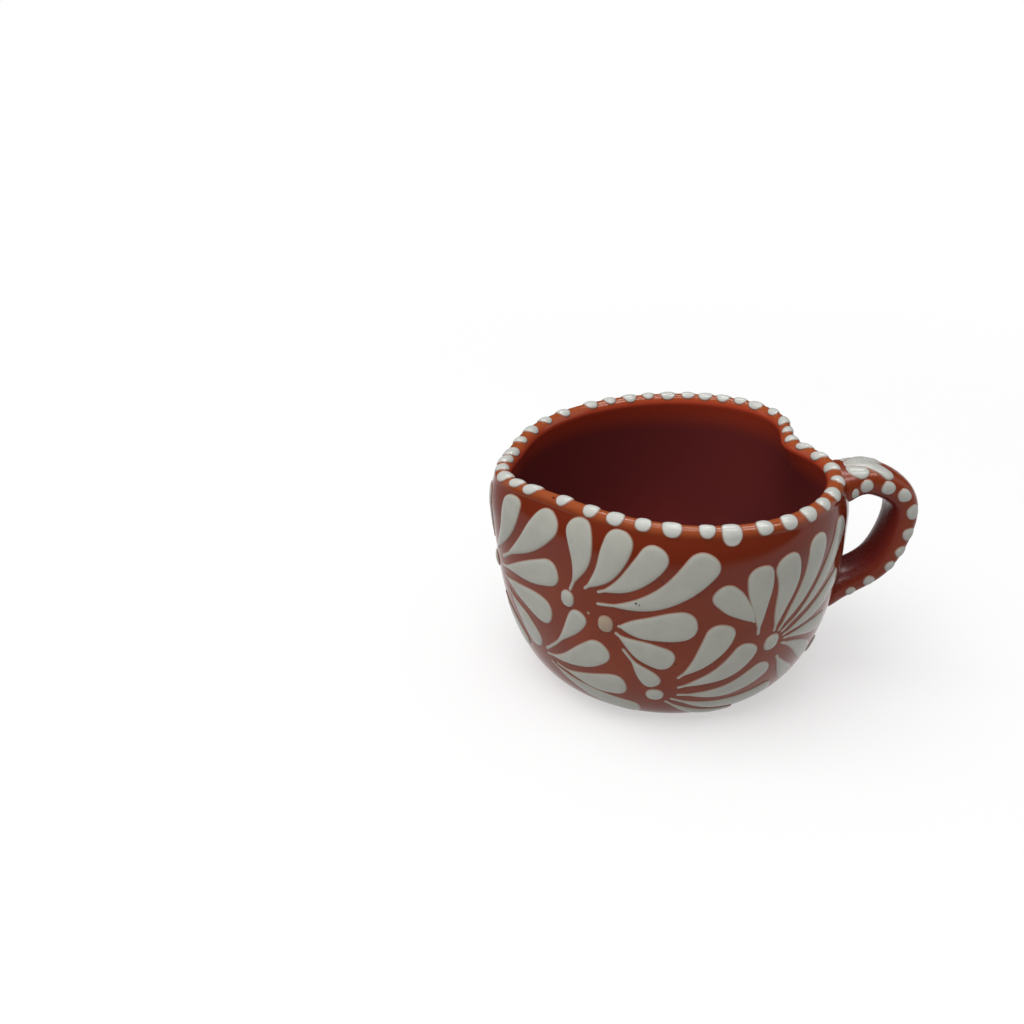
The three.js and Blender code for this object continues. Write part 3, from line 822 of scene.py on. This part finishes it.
def makeSpray(node, spray):
    def onWall(x, y):
        azimuth = np.radians(spray["azimuth"] + x / hundredth * sprayTrail["degreesPerHundredth"])
        return onCup(azimuth, spray["height"] * hundredth + y)

    islands = [stroke(onWall, hundredth, row) for row in spray["strokes"]]
    accents = ()
    if spray["dot"]:
        width = spray["dot"] * hundredth
        length = width * spray.get("stretch", sprayTrail["dotStretch"])
        islands.append(drop(onWall, width, length, sprayTrail["dotHeight"]))
        accents = (len(islands) - 1,) if spray.get("beige") else ()
    if "speck" in spray:
        besideX, besideY = (part * hundredth for part in spray["speck"])

        def besideDot(x, y):
            return onWall(x + besideX, y + besideY)

        width = sprayTrail["speckWidth"]
        islands.append(drop(besideDot, width, width, sprayTrail["speckHeight"]))
    piece = slipPiece("slip" + node.title().replace("_", ""), islands, brushedSlip, accents)
    seat(piece, "white_slip", node)


for node, spray in sprays.items():
    makeSpray(node, spray)
print("sprays trailed,", len(sprays))


# beads in runs round the lip: the azimuth where a run ends, and how many beads are in it
beads = {
    "start": -196.5,
    "runs": [
        (-166, 5), (-153.2, 1), (-141.9, 1), (-123.6, 2), (-114.8, 1), (-104.5, 1),
        (-97.4, 1), (-87.2, 1), (-52, 4), (-20, 3), (9, 3), (36, 3),
        (63.5, 4), (87.5, 3), (105.5, 2), (120, 1), (163.5, 4),
    ],
    "width": 4.9,
    "length": 5.5,
    "longLength": 7.1,
    "long": 12,  # the bead that ran down
    "height": 0.65,
    "share": 0.84,  # most of the pitch that a bead takes
    "lean": 86,  # degrees round the lip from its outer side
    "frontLean": 25,  # further out in front
    "strapLean": 108,  # further in at the strap
    "front": -88,
    "frontNarrowing": 2.2,
    "unevenness": (0.09, 2.7),  # largest share of their size, radians from bead to bead
    "tilt": (10, 2.1),  # the same, in degrees
    "grow": (0.25, 1.3),  # the same, one end fuller
}


def varied(change, number):
    largest, step = change
    return largest * math.sin(number * step)


def makeBeads():
    number = 0
    before = beads["start"]
    for after, count in beads["runs"]:
        pitch = (after - before) / count
        for k in range(count):
            number += 1
            middle = math.radians(before + (k + 1) * pitch)
            length = beads["longLength"] if number == beads["long"] else beads["length"]
            offStrap = abs(middle - math.radians(strap["azimuth"])) * bowl["lipRadius"]
            atStrap = offStrap < strap["width"] / 2 + strap["flare"]
            inFront = max(0, math.cos(middle - math.radians(beads["front"]))) ** beads["frontNarrowing"]
            lean = beads["strapLean"] if atStrap else beads["lean"] - beads["frontLean"] * inFront
            run = wallRun + math.radians(lean) * lipHalf - (length - beads["length"]) / 2

            def onLip(x, y):
                return onCup(middle + x / bowl["lipRadius"], run + y)

            width = min(beads["width"], math.radians(pitch) * bowl["lipRadius"] * beads["share"])
            uneven = 1 + varied(beads["unevenness"], number)
            shape = {key: varied(beads[key], number) for key in ("tilt", "grow")}
            bead = drop(onLip, width * uneven, length * uneven, beads["height"], **shape)
            seat(slipPiece(f"slipBead{number:02d}", [bead]), "white_slip", f"rim_bead_{number:02d}")
        before = after
    return number


print("beads set on the lip,", makeBeads())


# slip on the strap: petals over its crown, in rows as for a spray, and dots along both edges
strapSlip = {
    "petals": [
        (-45, 5, 49, 25, -2), (-28, 6, 80, 25, 6), (-8, 8, 74, 22, 1), (20, 7, 89, 27, -9),
        (36, 4, 50, 28, 1),
    ],
    "petalRoot": 6,  # past the wall; petals are in hundredths of the strap's width
    "petalHeight": 0.3,
    "petalOver": 0.08,  # each lies over the one before
    "dots": [
        (5.2, 10.7, 4.2), (9.6, 9.5, 4.1), (16.3, 9.2, 4.4), (21.8, 8.7, 4.3), (27.8, 8.2, 4.5),
        (34.6, 8.2, 4.2), (40.3, 7.9, 3.9), (45.5, 8.2, 3.6), (52.6, 8.9, 3.7), (58.7, 8.5, 3.4),
    ],  # mm along, mm round the section from the middle of its outer face, width
    "dotHeight": 0.6,
    "tilt": (25, 1.7),
    "grow": (0.2, 2.3),
}


def makeStrapSlip():
    unit = strap["width"] / 100

    def onCrown(x, y):
        return strapPlace(np.pi * x / unit / 100, strap["sunk"] + strapSlip["petalRoot"] * unit + y)

    petals = []
    for k, row in enumerate(strapSlip["petals"]):
        height = strapSlip["petalHeight"] + k * strapSlip["petalOver"]
        petals.append(stroke(onCrown, unit, row, height))
    seat(slipPiece("slipCrownPetals", petals, dullSlip), "white_slip", "handle_spray")
    for side, name in ((1, "slipNearEdgeDots"), (-1, "slipFarEdgeDots")):
        dots = []
        for k, (run, edge, width) in enumerate(strapSlip["dots"]):
            def atEdge(x, y):
                return onStrap(side * edge + x, run + y)

            shape = {key: varied(strapSlip[key], k) for key in ("tilt", "grow")}
            dots.append(drop(atEdge, width, width, strapSlip["dotHeight"], **shape))
        seat(slipPiece(name, dots, dullSlip), "white_slip")


makeStrapSlip()
print("strap dotted")


# pale table and soft light from the left
studio = {
    "table": 3.0,  # metres across
    "floor": (0.50, 0.50, 0.50, 1),
    "floorRough": 0.9,
    "white": (1, 1, 1, 1),
    "black": (0, 0, 0, 1),
    "floorLift": 0.53,  # extra white for the eye and for reflections, none for the light
    "whiteFrom": 0.16,  # further out the table fades to plain white
    "whiteTo": 0.5,
    "softbox": {"place": (-0.72, -0.30, 2.1), "size": (2.2, 2.2), "watts": 39, "shines": False},
    "stripFront": {"place": (0.08, -0.15, 1.265), "size": (1.7, 0.3), "watts": 26, "lights": False},
    "stripBack": {"place": (0.244, 0.56, 1.10), "size": (0.8, 0.3), "watts": 12, "lights": False},
    "lampTurn": -14.7,  # degrees, level with the photo's frame
    "card": (0.012, 0.010, 0.010, 1),
    "frontCard": {"place": (0.2, -0.26, 0.6), "tilt": 90, "turn": -25, "size": (3.2, 1.2), "soft": 0.05},
    "backCard": {"place": (0.13, 0.5, 0.4), "tilt": 90, "turn": -14.7, "size": (2.4, 0.9), "soft": 0.1},
    "topCard": {"place": (0.0, 0.1, 1.35), "tilt": 0, "turn": -14.7, "size": (2.4, 1.8), "soft": 0.2},
    "world": 0.40,  # as light, it is white to the eye
}


def makePlane(name, place, width, height, material):
    mesh = bpy.data.meshes.new(name)
    corners = [(x * width / 2, y * height / 2, 0) for x, y in ((-1, -1), (1, -1), (1, 1), (-1, 1))]
    mesh.from_pydata(corners, [], [(0, 1, 2, 3)])
    plane = bpy.data.objects.new(name, mesh)
    plane.location = place
    mesh.materials.append(material)
    scene.collection.objects.link(plane)
    return plane


def most(tree, first, second):
    return addNode(tree, "Math", {0: first, 1: second}, operation="MAXIMUM").outputs[0]


# white background for the eye and for reflections
def seenRays(tree):
    rays = addNode(tree, "LightPath").outputs
    eyeOrGloss = most(tree, rays["Is Camera Ray"], rays["Is Glossy Ray"])
    return most(tree, eyeOrGloss, rays["Is Transmission Ray"])


def makeTable():
    material, tree, shader, place = newMaterial("paleTable")
    away = addNode(tree, "VectorMath", {0: place}, operation="LENGTH").outputs["Value"]
    far = spread(tree, away, studio["whiteFrom"], studio["whiteTo"])
    tree.links.new(mixColour(tree, far, studio["floor"], studio["black"]), shader.inputs["Base Color"])
    shader.inputs["Roughness"].default_value = studio["floorRough"]
    shader.inputs["Specular IOR Level"].default_value = 0.0
    shader.inputs["Emission Color"].default_value = studio["white"]
    ends = {0: far, 1: 1 - studio["floorLift"], 2: studio["floorLift"]}
    lift = addNode(tree, "Math", ends, operation="MULTIPLY_ADD").outputs[0]
    seen = addNode(tree, "Math", {0: seenRays(tree), 1: lift}, operation="MULTIPLY").outputs[0]
    tree.links.new(seen, shader.inputs["Emission Strength"])
    makePlane("paleTable", (0, 0, 0), studio["table"], studio["table"], material)


# dark cards in front, behind and above: only their reflection shows, in the glaze
def makeCard(name):
    card = studio[name]
    material, tree, shader, place = newMaterial(name)
    shader.inputs["Base Color"].default_value = studio["card"]
    shader.inputs["Roughness"].default_value = 1.0
    shader.inputs["Specular IOR Level"].default_value = 0.0
    edge = -card["size"][1] / 2
    up = addNode(tree, "SeparateXYZ", {0: place}).outputs["Y"]
    tree.links.new(spread(tree, up, edge, edge + card["soft"]), shader.inputs["Alpha"])
    plane = makePlane(name, card["place"], *card["size"], material)
    plane.rotation_euler = (math.radians(card["tilt"]), 0, math.radians(card["turn"]))
    plane.visible_camera = False
    plane.visible_diffuse = False
    plane.visible_shadow = False
    plane.visible_transmission = False


# faces the object, its long side level along the photo's width
def makeLamp(name):
    lamp = studio[name]
    data = bpy.data.lights.new(name, "AREA")
    data.shape = "RECTANGLE"
    data.size, data.size_y = lamp["size"]
    data.energy = lamp["watts"]
    light = bpy.data.objects.new(name, data)
    light.location = lamp["place"]
    turn = math.radians(studio["lampTurn"])
    back = Vector(lamp["place"]).normalized()
    upright = back.cross(Vector((math.cos(turn), math.sin(turn), 0))).normalized()
    level = upright.cross(back)
    light.rotation_mode = "QUATERNION"
    light.rotation_quaternion = Matrix((level, upright, back)).transposed().to_quaternion()
    light.visible_camera = False
    light.visible_glossy = lamp.get("shines", True)
    light.visible_diffuse = lamp.get("lights", True)
    scene.collection.objects.link(light)


def makeWorld():
    world = bpy.data.worlds.new("studioWorld")
    scene.world = world
    world.use_nodes = True
    tree = world.node_tree
    back = tree.nodes["Background"]
    back.inputs["Color"].default_value = studio["white"]
    tree.links.new(spread(tree, seenRays(tree), 0.0, 1.0, studio["world"], 1.0), back.inputs["Strength"])


makeTable()
for card in ("frontCard", "backCard", "topCard"):
    makeCard(card)
for lamp in ("softbox", "stripFront", "stripBack"):
    makeLamp(lamp)
makeWorld()
print("studio lit")
